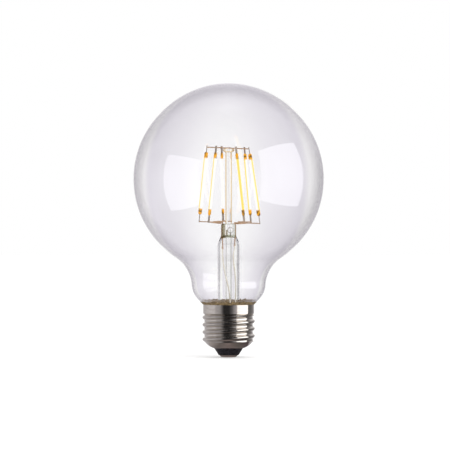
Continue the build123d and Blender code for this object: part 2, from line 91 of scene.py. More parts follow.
# Screw shell
skirt_length = 5.0
skirt_radius = 12.75
skirt_step = 0.6
crest_radius = 13.1
thread_depth = 1.05
thread_pitch = 3.629
thread_crest_height = 10.6
thread_low = 7.0
thread_runout = 1.3
thread_root_flat = 0.06
runout_sheets = 3
shell_sheet = 0.3
dome_radius = 8.0
dome_top = 7.8
dome_hole_radius = 7.2
dome_hole_height = shell_low.z

# Cement, whose noises are scaled on a circle of radius one
joint_gap = 0.03
cement_ragged = 1.0
lip_thickness = 0.35
lip_middle = 0.5
coarse_scale = 9
coarse_share = 0.6
fine_scale = 31
lump_scale = 14
lump_rise = 3
lump_size = 0.12

# Stem, exhaust tube and centre post
stem_radius = 5.5
stem_wall = 1.0
tube_top = 55.7
press_bottom = 60.2
press_top = stem_high.z
press_width = 7.5
press_depth = 5.6
press_round = 0.9
shoulder_share = 0.86
bore_drop = 1.0
bore_dome = 1.1
bore_lean = 0.22
exhaust_radius = exhaust_high.x
exhaust_wall = 0.65
blow_hole_radius = 1.4
blow_hole_offset = 0.9
blow_hole_drop = 3.2
post_radius = 1.65
button_radius = post_high.x
button_half_height = 1.4

# Blow hole from the middle of the press outward: shares of half its depth and of the hole's radius
hole_profile = ((0, 0), (0, 0.6), (0.25, 0.85), (0.6, 1.0), (0.85, 1.04), (1.0, 1.1), (1.3, 1.2), (1.3, 0))

# Up to this share of half the press's depth the faces of the hole keep the stem's glass
hole_skin = 0.9

# Filaments: azimuths of their yellow sides, shares of their length, shares of a turn from the yellow side
gel_end_round = 1.1
yellow_azimuths = (170, 190, 100, 285, 200, 350)
dark_end = 0.085
lit_start = 0.11
yellow_end = 0.15
pale_start = 0.22

# Mesh fineness. The passage has an odd count, so that its points don't fall in line with the bore's.
globe_segments = 256
shell_segments = 192
cement_segments = 192
stem_segments = 96
hole_segments = 48
passage_segments = 47
exhaust_segments = 48
post_segments = 64
gel_segments = 28
shade_segments = 48
globe_steps = 100
hollow_steps = 18
shoulder_steps = 28
corner_steps = 8
dome_steps = 14
side_steps = 150
lip_steps = 10
flare_steps = 20
tube_steps = 16
round_steps = 8
tip_steps = 10
button_steps = 24
gel_steps = 72
card_steps = 24
room_steps = 64
sharp_edge = 40.0
cement_sharp_edge = 60.0

# Grains: the span of noise that is used, and sizes and heights
grain_span = (0.3, 0.7)
blotch_span = (0.38, 0.5)
blotch_size = 1.6
gel_grain_size = 0.5
gel_rough = (0.25, 0.5)
gel_bump = 0.03
globe_wave = {"wave_size": 25.0, "wave_height": 0.004}
drawn_wave = {"wave_size": 6.0, "wave_height": 0.01, "stretch": (1, 1, 0.1)}

# Glass: bending, mirror, and tints from face on to edge on
globe_index = 1.5
stem_index = 1.33
globe_mirror = 1.0
stem_mirror = 0.05
press_mirror = 0.1
clear = (1.0, 1.0, 1.0)
oxide = (0.30, 0.25, 0.14)
bottle = (0.63, 0.66, 0.55)
amber_glass = (0.98, 0.72, 0.40)
# Globe tints: face on, a faint tint of the glass; toward the rim, a lilac grey darkening that is painted
# shade for the globe's darker outline
globe_tints_and_rim_shade = (
    (0.3, (0.990, 0.986, 0.993)),
    (0.5, (0.962, 0.953, 0.968)),
    (0.75, (0.71, 0.69, 0.72)),
    (1.0, (0.5, 0.48, 0.5)),
)
stem_tints = ((0.55, (0.995, 0.998, 0.992)), (0.8, (0.96, 0.98, 0.93)), (1.0, (0.88, 0.91, 0.83)))
post_tints = ((0.12, (1.0, 0.995, 0.98)), (0.35, amber_glass), (0.8, amber_glass))
press_tints = ((0.1, (1.0, 1.0, 0.99)), (0.3, (0.70, 0.71, 0.59)), (1.0, (0.36, 0.37, 0.27)))

# Press head: tints along X, and along Z from its bottom
press_side_tints = ((-3.8, oxide), (-1.9, oxide), (-1.3, clear), (3.8, clear))
press_ring_tints = ((-1.1, clear), (-0.5, bottle), (0.1, bottle), (0.7, clear))

# Gel: colours of its dark ends and its body, and the light of its ends and its lit middle
gel_amber = (0.80, 0.36, 0.004)
gel_brown = (0.24, 0.11, 0.01)
gel_body = (0.30, 0.22, 0.08)
gel_ember = (0.31, 0.14, 0.0)
gel_yellow = (0.92, 0.69, 0.12)
gel_pale = (0.84, 0.89, 0.96)
black = (0.0, 0.0, 0.0)
white = (1.0, 1.0, 1.0)

# Other finishes: two colours, the grain's size, the roughness, and the height of the grain
grained_looks = {
    "nickel": {
        "dark": (0.62, 0.575, 0.52),
        "light": (0.74, 0.695, 0.635),
        "size": 1.6,
        "rough": (0.05, 0.12),
        "bump": 0.004,
        "metal": 1.0,
        "stretch": (0.5, 0.5, 2),
    },
    "wire": {
        "dark": (0.50, 0.28, 0.15),
        "light": (0.82, 0.56, 0.37),
        "size": 1.2,
        "rough": (0.3, 0.5),
        "bump": 0.01,
        "metal": 0.3,
    },
    "tab_steel": {
        "dark": (0.36, 0.28, 0.22),
        "light": (0.58, 0.48, 0.40),
        "size": 0.8,
        "rough": (0.35, 0.55),
        "bump": 0.01,
        "metal": 0.3,
    },
    "cement": {
        "dark": (0.12, 0.075, 0.03),
        "light": (0.41, 0.29, 0.14),
        "size": 1.1,
        "rough": (0.45, 0.8),
        "bump": 0.25,
    },
    "black_glass": {
        "dark": (0.006, 0.006, 0.009),
        "light": (0.022, 0.021, 0.03),
        "size": 1.5,
        "rough": (0.08, 0.2),
        "bump": 0.02,
    },
    "wire_sleeve": {
        "dark": (0.88, 0.80, 0.66),
        "light": (0.97, 0.93, 0.84),
        "size": 1.5,
        "rough": (0.3, 0.5),
        "bump": 0.02,
    },
    "driver_plastic": {
        "dark": (0.70, 0.70, 0.67),
        "light": (0.80, 0.80, 0.77),
        "size": 0.6,
        "rough": (0.4, 0.55),
        "bump": 0.01,
    },
    "board": {
        "dark": (0.02, 0.13, 0.05),
        "light": (0.05, 0.24, 0.11),
        "size": 2.0,
        "rough": (0.25, 0.4),
        "bump": 0.02,
    },
    "chip_black": {
        "dark": (0.012, 0.012, 0.012),
        "light": (0.035, 0.035, 0.035),
        "size": 0.3,
        "rough": (0.45, 0.65),
        "bump": 0.01,
    },
    "capacitor_can": {
        "dark": (0.03, 0.035, 0.05),
        "light": (0.07, 0.08, 0.1),
        "size": 0.8,
        "rough": (0.3, 0.45),
        "bump": 0.01,
    },
    "resistor_body": {
        "dark": (0.12, 0.28, 0.2),
        "light": (0.2, 0.38, 0.28),
        "size": 0.7,
        "rough": (0.35, 0.5),
        "bump": 0.02,
    },
}

# Room and soft box: greys at azimuths about the lamp, nought at the front and more toward +X
plain_level = 0.85
through_colour = (0.90, 0.90, 0.895)
room_tint = (1.0, 0.975, 1.03)
room_distance = 1100.0
room_stops = (
    (-180, 0.8), (-152, 0.58), (-135, 0.54), (-120, 0.6), (-95, 0.66), (-67, 0.66), (-59, 0.47), (-39, 0.38),
    (-30, 0.17), (-22, 0.03), (2, 0.03), (16, 0.13), (25, 0.33), (36, 0.5), (104, 0.14), (122, 0.18),
    (138, 0.28), (153, 0.55), (180, 0.8),
)
ring_stops = (
    (-180, 0.8), (-125, 0.4), (-95, 0.25), (-75, 0.33), (-40, 0.28), (-24, 0.06), (-18, 0.02), (14, 0.02),
    (60, 0.05), (100, 0.08), (140, 0.6), (180, 0.8),
)
upper_stops = (
    (-180, 0.36), (-120, 0.36), (-80, 0.24), (-40, 0.22), (-20, 0.03), (15, 0.03), (50, 0.08), (80, 0.12),
    (120, 0.36), (180, 0.36),
)
lower_stops = (
    (-180, 0.6), (-125, 0.4), (-95, 0.25), (-75, 0.33), (-40, 0.28), (-24, 0.06), (-18, 0.02), (14, 0.02),
    (60, 0.05), (110, 0.08), (135, 0.25), (180, 0.6),
)
room_poles = ((8, 22, ring_stops), (38, 62, upper_stops), (-8, -35, lower_stops))
box_tint = (1.0, 1.0, 1.03)
box_stops = ((36, 0.9), (42, 1.6), (60, 1.8), (75, 1.9), (90, 1.8), (104, 1.5))
box_corners = ((330, 30, -130), (301, -400, -217), (301, -400, 284), (330, 30, 183))

# Contact shade on the floor, from -X to +X
shade_radius = 17.0
shade_height = -0.1
shade_stops = (
    (0.05, (0.42, 0.39, 0.40)),
    (0.28, (0.18, 0.16, 0.16)),
    (0.5, (0.22, 0.18, 0.18)),
    (0.7, (0.14, 0.125, 0.12)),
    (0.95, (0.10, 0.08, 0.09)),
)

# Backdrop: its stops are distances in metres from its centre, with heights divided by the stretch
back_azimuths = (163, 197)
back_elevations = (-17, 17)
back_distance = 800.0
back_centre = Vector((-3.0, 0.0, 75.0))
back_stretch = 3
back_level = 1.1
back_stops = (
    (0.0, white),
    (0.02, white),
    (0.045, (0.86, 0.845, 0.88)),
    (0.083, (0.79, 0.77, 0.82)),
    (0.095, (1.0, 1.0, 0.98)),
)

# Floor, world, key lamp and camera
floor_half = 4000.0
floor_height = -0.2
floor_colours = ((0.88, 0.88, 0.88), (0.92, 0.92, 0.92))
floor_grain_size = 4.0
floor_rough = 0.9
floor_lift = 0.36
world_levels = (0.75, 1.0)
key_size = 700.0
key_watts = 3.0
key_place = Vector((650.0, -650.0, 750.0))
key_aim = Vector((0.0, 0.0, 60.0))
view_distance = 1200.0
view_width = 223.8
view_place = Vector((-1.8, -view_distance, 65.6))
sensor_width = 36.0
clip_end = 50000.0
light_bounces = 32
glossy_bounces = 16


# Meshes from rings of points


def ring(x_radius, y_radius, height, segments):
    """A level ring of points, or one point where both radii are nought."""
    if x_radius == 0:
        return [(0.0, 0.0, height)]
    turns = [2 * math.pi * step / segments for step in range(segments)]
    return [(x_radius * math.cos(turn), y_radius * math.sin(turn), height) for turn in turns]


def loft_into(points, faces, rings, closed=False):
    """Adds the skin between neighbouring rings to lists of points and faces."""
    starts = []
    for one in rings:
        starts.append(len(points))
        points.extend(one)
    pairs = list(zip(range(len(rings)), range(1, len(rings))))
    if closed:
        pairs.append((len(rings) - 1, 0))
    for first, second in pairs:
        count = max(len(rings[first]), len(rings[second]))
        for step in range(count):
            after = (step + 1) % count
            corners = []
            for which, place in ((first, step), (first, after), (second, after), (second, step)):
                corner = starts[which] + place % len(rings[which])
                if corner not in corners:
                    corners.append(corner)
            if len(corners) > 2:
                faces.append(corners)


def make_object(name, points, faces, sharp_angle=sharp_edge):
    """A smooth object from points in millimetres, with its faces turned outward."""
    mesh = bpy.data.meshes.new(name)
    mesh.from_pydata([Vector(point) * mm for point in points], [], faces)
    mesh.validate()
    piece = bpy.data.objects.new(name, mesh)
    bpy.context.scene.collection.objects.link(piece)
    bpy.context.view_layer.objects.active = piece
    bpy.ops.object.mode_set(mode="EDIT")
    bpy.ops.mesh.select_all(action="SELECT")
    bpy.ops.mesh.normals_make_consistent(inside=False)
    bpy.ops.object.mode_set(mode="OBJECT")
    mesh.shade_smooth()
    mesh.set_sharp_from_angle(angle=math.radians(sharp_angle))
    return piece


def loft(name, rings, closed=False, sharp_angle=sharp_edge):
    """A smooth object skinned over rings of points."""
    points = []
    faces = []
    loft_into(points, faces, rings, closed)
    return make_object(name, points, faces, sharp_angle)


def stand_for(piece, slot, node, finish=None):
    """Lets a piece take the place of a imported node, with the slot's finish or one of its own."""
    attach(piece, "root")
    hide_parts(node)
    piece.data.materials.append(finish or finishes[slot])


def let_light_in(piece):
    """Lets light pass a glass piece unbent to what it holds."""
    piece.visible_diffuse = False
    piece.visible_shadow = False


def cut(piece, cutter):
    """Cuts one object out of another and deletes the cutter."""
    modifier = piece.modifiers.new("cut", "BOOLEAN")
    modifier.operation = "DIFFERENCE"
    modifier.solver = "EXACT"
    modifier.object = cutter
    bpy.context.view_layer.objects.active = piece
    bpy.ops.object.modifier_apply(modifier=modifier.name)
    bpy.data.objects.remove(cutter)


# Outlines in the plane of radius and height


def arc(centre, start, end, steps):
    """Points of the shorter arc from start to end about a centre."""
    first = math.atan2(start.y - centre.y, start.x - centre.x)
    turn = math.atan2(end.y - centre.y, end.x - centre.x) - first
    turn = (turn + math.pi) % (2 * math.pi) - math.pi
    radius = (start - centre).length
    angles = [first + turn * step / steps for step in range(steps + 1)]
    return [centre + Vector((math.cos(angle), math.sin(angle))) * radius for angle in angles]


def toward(centre, radius, point):
    """The point of a circle that lies toward another point."""
    return centre + (point - centre).normalized() * radius


def turned(outline, segments):
    """Level rings along an outline of radius and height."""
    return [ring(point.x, point.x, point.y, segments) for point in outline]


# Nodes of the finishes


def new_finish(name):
    """A new material with its shader."""
    finish = bpy.data.materials.new(name)
    finish.use_nodes = True
    return finish, finish.node_tree, finish.node_tree.nodes["Principled BSDF"]


def add_place(tree):
    """The object's own place, split into its axes."""
    place = tree.nodes.new("ShaderNodeTexCoord")
    split = tree.nodes.new("ShaderNodeSeparateXYZ")
    tree.links.new(place.outputs["Object"], split.inputs["Vector"])
    return split.outputs


def add_grain(tree, size, stretch=(1, 1, 1), detail=3.0):
    """A noise over the object's own place, with grains about as large as size in millimetres."""
    place = tree.nodes.new("ShaderNodeTexCoord")
    mapping = tree.nodes.new("ShaderNodeMapping")
    mapping.inputs["Scale"].default_value = [share / (size * mm) for share in stretch]
    grain = tree.nodes.new("ShaderNodeTexNoise")
    grain.inputs["Scale"].default_value = 1.0
    grain.inputs["Detail"].default_value = detail
    tree.links.new(place.outputs["Object"], mapping.inputs["Vector"])
    tree.links.new(mapping.outputs["Vector"], grain.inputs["Vector"])
    return grain.outputs["Fac"]


def add_math(tree, operation, source, number):
    """One step of arithmetic with a linked number and a fixed one."""
    reckoned = tree.nodes.new("ShaderNodeMath")
    reckoned.operation = operation
    reckoned.inputs[1].default_value = number
    tree.links.new(source, reckoned.inputs[0])
    return reckoned.outputs["Value"]


def add_span(tree, source, low, high, result=(0.0, 1.0)):
    """Turns the span from low to high into another span, and stops at its ends."""
    span = tree.nodes.new("ShaderNodeMapRange")
    span.inputs["From Min"].default_value = low
    span.inputs["From Max"].default_value = high
    span.inputs["To Min"].default_value = result[0]
    span.inputs["To Max"].default_value = result[1]
    tree.links.new(source, span.inputs["Value"])
    return span.outputs["Result"]


def add_ramp(tree, source, stops):
    """A colour ramp with stops of place and colour."""
    ramp = tree.nodes.new("ShaderNodeValToRGB")
    elements = ramp.color_ramp.elements
    while len(elements) < len(stops):
        elements.new(0.5)
    for element, (place, colour) in zip(elements, stops):
        element.position = place
        element.color = (*colour, 1)
    tree.links.new(source, ramp.inputs["Fac"])
    return ramp.outputs["Color"]


def add_mix(tree, share, first, second):
    """Blends from a first to a second colour."""
    mix = tree.nodes.new("ShaderNodeMix")
    mix.data_type = "RGBA"
    tree.links.new(share, mix.inputs["Factor"])
    for socket, colour in ((mix.inputs[6], first), (mix.inputs[7], second)):
        if isinstance(colour, tuple):
            socket.default_value = (*colour, 1)
        else:
            tree.links.new(colour, socket)
    return mix.outputs[2]


def add_product(tree, first, second):
    """One colour times another."""
    both = tree.nodes.new("ShaderNodeMix")
    both.data_type = "RGBA"
    both.blend_type = "MULTIPLY"
    both.inputs["Factor"].default_value = 1.0
    tree.links.new(first, both.inputs[6])
    tree.links.new(second, both.inputs[7])
    return both.outputs[2]


def add_bump(tree, shader, source, height):
    """Raises the surface by a height in millimetres where the source is bright."""
    bump = tree.nodes.new("ShaderNodeBump")
    bump.inputs["Strength"].default_value = 1.0
    bump.inputs["Distance"].default_value = height * mm
    tree.links.new(source, bump.inputs["Height"])
    tree.links.new(bump.outputs["Normal"], shader.inputs["Normal"])


# Finishes


def grained(name, dark, light, size, rough, bump, metal=0.0, stretch=(1, 1, 1)):
    """A finish whose colour, roughness and surface vary with one grain."""
    finish, tree, shader = new_finish(name)
    grain = add_grain(tree, size, stretch)
    colour = add_ramp(tree, grain, list(zip(grain_span, (dark, light))))
    tree.links.new(colour, shader.inputs["Base Color"])
    tree.links.new(add_span(tree, grain, *grain_span, rough), shader.inputs["Roughness"])
    shader.inputs["Metallic"].default_value = metal
    add_bump(tree, shader, grain, bump)
    return finish


def clear_glass(name, tints, index, mirror, wave_size, wave_height, stretch=(1, 1, 1)):
    """Clear glass with a faint waviness, tinted toward its edges where the way through it is longer; the
    globe's darkest edge tints are painted shade for its darker rim.
    """
    finish, tree, shader = new_finish(name)
    facing = tree.nodes.new("ShaderNodeLayerWeight")
    tree.links.new(add_ramp(tree, facing.outputs["Facing"], tints), shader.inputs["Base Color"])
    shader.inputs["Roughness"].default_value = 0.0
    shader.inputs["IOR"].default_value = index
    shader.inputs["Specular Tint"].default_value = (mirror, mirror, mirror, 1)
    shader.inputs["Transmission Weight"].default_value = 1.0
    add_bump(tree, shader, add_grain(tree, wave_size, stretch, detail=1.0), wave_height)
    return finish


def tint_along(finish, axis, stops):
    """Tints a glass by its place along an axis, with stops of place in millimetres and colour."""
    tree = finish.node_tree
    base = tree.nodes["Principled BSDF"].inputs["Base Color"]
    low, high = stops[0][0], stops[-1][0]
    span = add_span(tree, add_place(tree)[axis], low * mm, high * mm)
    tint = add_ramp(tree, span, [((at - low) / (high - low), colour) for at, colour in stops])
    tree.links.new(add_product(tree, base.links[0].from_socket, tint), base)


def gel_finish(name):
    """Phosphor gel: lit along its middle, amber where it is dark at both ends."""
    finish, tree, shader = new_finish(name)
    place = tree.nodes.new("ShaderNodeUVMap")
    split = tree.nodes.new("ShaderNodeSeparateXYZ")
    tree.links.new(place.outputs["UV"], split.inputs["Vector"])
    around, length = split.outputs["X"], split.outputs["Y"]
    ends = ((dark_end, black), (lit_start, white), (1 - lit_start, white), (1 - dark_end, black))
    lit = add_ramp(tree, length, ends)
    tint = add_ramp(tree, around, ((yellow_end, gel_yellow), (pale_start, gel_pale)))
    blotch = add_grain(tree, blotch_size)
    bead = add_ramp(tree, blotch, list(zip(blotch_span, (gel_brown, gel_amber))))
    bead_glow = add_ramp(tree, blotch, list(zip(blotch_span, (black, gel_ember))))
    tree.links.new(add_mix(tree, lit, bead, gel_body), shader.inputs["Base Color"])
    tree.links.new(add_mix(tree, lit, bead_glow, tint), shader.inputs["Emission Color"])
    shader.inputs["Emission Strength"].default_value = 1.0
    grain = add_grain(tree, gel_grain_size)
    tree.links.new(add_span(tree, grain, *grain_span, gel_rough), shader.inputs["Roughness"])
    add_bump(tree, shader, grain, gel_bump)
    return finish


finishes = {name: grained(name, **look) for name, look in grained_looks.items()}
finishes["globe_glass"] = clear_glass("globe_glass", globe_tints_and_rim_shade, globe_index, globe_mirror, **globe_wave)
finishes["stem_glass"] = clear_glass("stem_glass", stem_tints, stem_index, stem_mirror, **drawn_wave)
finishes["filament_gel"] = gel_finish("filament_gel")
post_finish = clear_glass("post_glass", post_tints, stem_index, press_mirror, **drawn_wave)
press_finish = clear_glass("press_glass", press_tints, globe_index, press_mirror, **drawn_wave)
tint_along(press_finish, "X", press_side_tints)
tint_along(press_finish, "Z", [(press_bottom + at, colour) for at, colour in press_ring_tints])

for item in record["subparts"]:
    bpy.data.objects[item["node"]].material_slots[0].material = finishes[item["material_slot"]]


# Glass globe
globe_centre = Vector((0, globe_top - globe_radius))
shoulder_centre = Vector((neck_radius - shoulder_radius, rim_height + shoulder_rise))
apart = shoulder_centre - globe_centre
globe_reach = globe_radius + neck_hollow_radius
shoulder_reach = shoulder_radius + neck_hollow_radius
along = (apart.length**2 + globe_reach**2 - shoulder_reach**2) / (2 * apart.length)
across = math.sqrt(globe_reach**2 - along**2)
direction = apart.normalized()
hollow_centre = globe_centre + direction * along + Vector((-direction.y, direction.x)) * across
seal_corner_x = seal_radius + seal_corner_radius
seal_corner_reach = shoulder_radius + seal_corner_radius
seal_corner_drop = math.sqrt(seal_corner_reach**2 - (seal_corner_x - shoulder_centre.x) ** 2)
seal_corner_centre = Vector((seal_corner_x, shoulder_centre.y - seal_corner_drop))


def glass_side(inset):
    """One side of the glass wall, from the top of the globe to its sealed end."""
    top = globe_centre + Vector((0, globe_radius - inset))
    globe_end = toward(globe_centre, globe_radius - inset, hollow_centre)
    hollow_end = toward(shoulder_centre, shoulder_radius - inset, hollow_centre)
    shoulder_end = toward(shoulder_centre, shoulder_radius - inset, seal_corner_centre)
    corner_end = Vector((seal_radius - inset, seal_corner_centre.y))
    points = arc(globe_centre, top, globe_end, globe_steps)
    points += arc(hollow_centre, globe_end, hollow_end, hollow_steps)[1:]
    points += arc(shoulder_centre, hollow_end, shoulder_end, shoulder_steps)[1:]
    points += arc(seal_corner_centre, shoulder_end, corner_end, corner_steps)[1:]
    points.append(Vector((seal_radius - inset, seal_height)))
    points[0].x = 0
    return points


outer_side = glass_side(0.0)
inner_side = glass_side(glass_wall)
globe = loft("globe", turned(outer_side + inner_side[::-1], globe_segments))
stand_for(globe, "globe_glass", "glass_globe")
let_light_in(globe)


# Screw shell with its rolled thread
core_radius = crest_radius - thread_depth + thread_root_flat
skirt_bottom = rim_height - skirt_length
thread_high = skirt_bottom + skirt_step
dome_start = Vector((dome_hole_radius, dome_hole_height))
dome_end = Vector((core_radius, dome_top))
dome_half = (dome_end - dome_start) / 2
dome_reach = math.sqrt(dome_radius**2 - dome_half.length**2)
dome_centre = dome_start + dome_half + Vector((-dome_half.y, dome_half.x)).normalized() * dome_reach
wave_radius = ((thread_pitch / 2) ** 2 + thread_depth**2) / (4 * thread_depth)
limit_radius = core_radius - runout_sheets * shell_sheet
limit_slope = (crest_radius + thread_depth - limit_radius) / thread_runout


def thread_wave(offset):
    """Radius of the rolled thread at a height above or below its crest."""
    offset = abs((offset / thread_pitch + 0.5) % 1 - 0.5) * thread_pitch
    if offset < thread_pitch / 4:
        return crest_radius - wave_radius + math.sqrt(wave_radius**2 - offset**2)
    offset = thread_pitch / 2 - offset
    return crest_radius - thread_depth + wave_radius - math.sqrt(wave_radius**2 - offset**2)


def core_at(height):
    """Radius of the shell without its thread, above the dome."""
    share = min(1, max(0, (height - skirt_bottom) / skirt_step))
    return core_radius + (skirt_radius - core_radius) * share


def shell_ring(height, inset):
    """A ring of the shell's side, with the thread that runs out at both ends."""
    points = []
    low_limit = limit_radius + (height - thread_low) * limit_slope
    high_limit = limit_radius + (thread_high - height) * limit_slope
    for step in range(shell_segments):
        share = step / shell_segments
        wave = thread_wave(height - thread_crest_height - share * thread_pitch)
        radius = max(core_at(height), min(wave, low_limit, high_limit)) - inset
        angle = 2 * math.pi * share
        points.append((radius * math.cos(angle), radius * math.sin(angle), height))
    return points


side_heights = [dome_top + (rim_height - dome_top) * step / side_steps for step in range(side_steps + 1)]
dome_outer = arc(dome_centre, dome_start, dome_end, dome_steps)[:-1]
dome_inner = [toward(dome_centre, dome_radius - shell_sheet, point) for point in dome_outer]
shell_rings = turned(dome_outer, shell_segments)
shell_rings += [shell_ring(height, 0.0) for height in side_heights]
shell_rings += [shell_ring(height, shell_sheet) for height in reversed(side_heights)]
shell_rings += turned(dome_inner[::-1], shell_segments)
shell = loft("shell", shell_rings, closed=True)
stand_for(shell, "nickel", "screw_shell")


# Cement with a ragged lip between the glass and the shell
glass_heights = [point.y for point in outer_side[::-1] if point.y < shoulder_centre.y]
glass_radii = [point.x for point in outer_side[::-1] if point.y < shoulder_centre.y]


def glass_at(height):
    """Radius of the cement where it lies on the glass."""
    return float(np.interp(height, glass_heights, glass_radii)) + joint_gap


def cement_ring(share, inner):
    """A ring of the cement's lip, or of its inner side along the glass, at a share of the lip's height."""
    points = []
    for step in range(cement_segments):
        angle = 2 * math.pi * step / cement_segments
        way = Vector((math.cos(angle), math.sin(angle), 0))
        rough = noise.noise(way * coarse_scale) * coarse_share
        rough += noise.noise(way * fine_scale) * (1 - coarse_share)
        lip = min(cement_high.z - cement_ragged * (lip_middle + rough), cement_high.z)
        height = rim_height + (lip - rim_height) * share
        radius = glass_at(height)
        if not inner:
            spot = Vector((way.x * lump_scale, way.y * lump_scale, share * lump_rise))
            lump = noise.noise(spot) * lump_size
            slope = skirt_radius + (glass_at(lip) - skirt_radius) * share + lump * (1 - share)
            radius = max(radius + lip_thickness * math.sqrt(1 - share), slope)
        points.append((radius * way.x, radius * way.y, height))
    return points


lip_shares = [step / lip_steps for step in range(lip_steps + 1)]
in_shell = skirt_radius - shell_sheet - joint_gap
on_seal = seal_radius + joint_gap
low_heights = (cement_low.z, rim_height + joint_gap)
cement_rings = [ring(in_shell, in_shell, height, cement_segments) for height in low_heights]
cement_rings += [cement_ring(share, False) for share in lip_shares]
cement_rings += [cement_ring(share, True) for share in reversed(lip_shares[:-1])]
cement_rings.append(ring(on_seal, on_seal, cement_low.z, cement_segments))
cement = loft("cement", cement_rings, closed=True, sharp_angle=cement_sharp_edge)
stand_for(cement, "cement", "cap_cement")


# Glass stem with its flared foot, its flat press and the blow hole in it
stem_bore = stem_radius - stem_wall
flare_rim = seal_radius - glass_wall
flare_top = seal_height + flare_rim - stem_radius
flare_centre = Vector((flare_rim, flare_top))
stem_floor = stem_low.z
half_width = press_width / 2
half_depth = press_depth / 2


def quadratic(first, middle, last, share):
    """A smooth run through three numbers."""
    back = 1 - share
    return first * back * (back - share) + 4 * middle * share * back + last * share * (share - back)


foot = [Vector((seal_radius, stem_floor)), Vector((seal_radius, seal_height))]
foot += arc(flare_centre, Vector((flare_rim, seal_height)), Vector((stem_radius, flare_top)), flare_steps)
stem_rings = turned(foot, stem_segments)
stem_rings.append(ring(stem_radius, stem_radius, (flare_top + tube_top) / 2, stem_segments))
bore_rings = []
for step in range(tube_steps + 1):
    share = step / tube_steps
    height = tube_top + (press_bottom - tube_top) * share
    width = quadratic(stem_radius, stem_radius * shoulder_share, half_width, share)
    depth = quadratic(stem_radius, (stem_radius + half_depth) / 2 * shoulder_share, half_depth, share)
    stem_rings.append(ring(width, depth, height, stem_segments))
    bore_rings.append(ring(width - stem_wall, depth - stem_wall, height - bore_drop * share, stem_segments))
quarter_turn = [math.radians(90 * step / round_steps) for step in range(round_steps + 1)]
for angle in quarter_turn:
    drawn_in = press_round * (1 - math.cos(angle))
    height = press_top - press_round * (1 - math.sin(angle))
    stem_rings.append(ring(half_width - drawn_in, half_depth - drawn_in, height, stem_segments))
stem_rings.append(ring(0, 0, press_top, stem_segments))
bore_end = press_bottom - bore_drop + bore_dome
for angle in quarter_turn[1:-1]:
    width = (half_width - stem_wall) * math.cos(angle)
    depth = (half_depth - stem_wall) * math.cos(angle)
    level = ring(width, depth, bore_end - bore_dome * (1 - math.sin(angle)), stem_segments)
    bore_rings.append([(x, y, z - bore_lean * x * math.sin(angle)) for x, y, z in level])
bore_rings.append(ring(0, 0, bore_end, stem_segments))
bore_rings.reverse()
flare_bore = arc(flare_centre, Vector((stem_bore, flare_top)), Vector((flare_rim, stem_floor)), flare_steps)
bore_rings += turned(flare_bore, stem_segments)
points = []
faces = []
loft_into(points, faces, stem_rings)
loft_into(points, faces, bore_rings)
foot_inner = len(points) - stem_segments
for step in range(stem_segments):
    after = (step + 1) % stem_segments
    faces.append((step, after, foot_inner + after, foot_inner + step))
stem = make_object("stem", points, faces)
blow_height = press_top - blow_hole_drop
hole_rings = []
for depth, share in hole_profile:
    flat = ring(blow_hole_radius * share, blow_hole_radius * share, 0, hole_segments)
    hole_rings.append([(blow_hole_offset + x, -depth * half_depth, blow_height + y) for x, y, z in flat])
cut(stem, loft("hole_cutter", hole_rings))
exhaust_bore = exhaust_radius - exhaust_wall
tube_end = bore_end - bore_dome - joint_gap
passage = [(0, tube_end), (exhaust_bore, tube_end), (exhaust_bore, blow_height), (0, blow_height)]
cut(stem, loft("passage_cutter", turned([Vector(point) for point in passage], passage_segments)))
stem.data.set_sharp_from_angle(angle=math.radians(sharp_edge))
stand_for(stem, "stem_glass", "stem_flare")
stem.data.materials.append(press_finish)
for face in stem.data.polygons:
    x, y, z = face.center / mm
    beside = Vector((x - blow_hole_offset, z - blow_height))
    in_hole = beside.length < blow_hole_radius and abs(y) < hole_skin * half_depth
    face.material_index = int(z > press_bottom - bore_drop and not in_hole)
let_light_in(stem)


# Exhaust tube, closed at its tip
tip_centre = Vector((0, exhaust_low.z + exhaust_radius))


def tube_tip(radius):
    """One side of the tube's round tip, from the axis outward."""
    start = tip_centre - Vector((0, radius))
    points = arc(tip_centre, start, tip_centre + Vector((radius, 0)), tip_steps)
    points[0].x = 0
    return points


tube_outline = tube_tip(exhaust_radius)
tube_outline += [Vector((exhaust_radius, tube_end)), Vector((exhaust_bore, tube_end))]
tube_outline += tube_tip(exhaust_bore)[::-1]
exhaust = loft("exhaust", turned(tube_outline, exhaust_segments))
stand_for(exhaust, "stem_glass", "exhaust_tube")
let_light_in(exhaust)


# Centre post with its melted button
button_height = post_high.z - button_half_height
post_outline = [Vector((0, press_top + joint_gap)), Vector((post_radius, press_top + joint_gap))]
button_start = math.asin(post_radius / button_radius)
for step in range(button_steps + 1):
    angle = button_start + (math.pi - button_start) * step / button_steps
    height = button_height - button_half_height * math.cos(angle)
    post_outline.append(Vector((button_radius * math.sin(angle), height)))
post_outline[-1].x = 0
post = loft("post", turned(post_outline, post_segments))
stand_for(post, "stem_glass", "centre_post", post_finish)
let_light_in(post)


# Filaments: gel sticks along the axes of their solids


def stick_axes(node):
    """Centre, axes and half sizes of a long solid, its long axis last."""
    mesh = bpy.data.objects[node].data
    places = np.empty(len(mesh.vertices) * 3)
    mesh.vertices.foreach_get("co", places)
    places = places.reshape(-1, 3) / mm
    centre = places.mean(axis=0)
    ways = np.linalg.eigh(np.cov((places - centre).T))[1]
    deep, long = Vector(ways[:, 1]), Vector(ways[:, 2])
    long = long if long.z > 0 else -long
    middle = Vector(centre)
    deep = deep if deep.dot(Vector((middle.x, middle.y, 0))) > 0 else -deep
    thin = long.cross(deep)
    halves = []
    for way in (deep, thin, long):
        reach = places @ np.array(way)
        halves.append((reach.max() - reach.min()) / 2)
        middle += way * ((reach.max() + reach.min()) / 2 - middle.dot(way))
    return middle, (deep, thin, long), halves


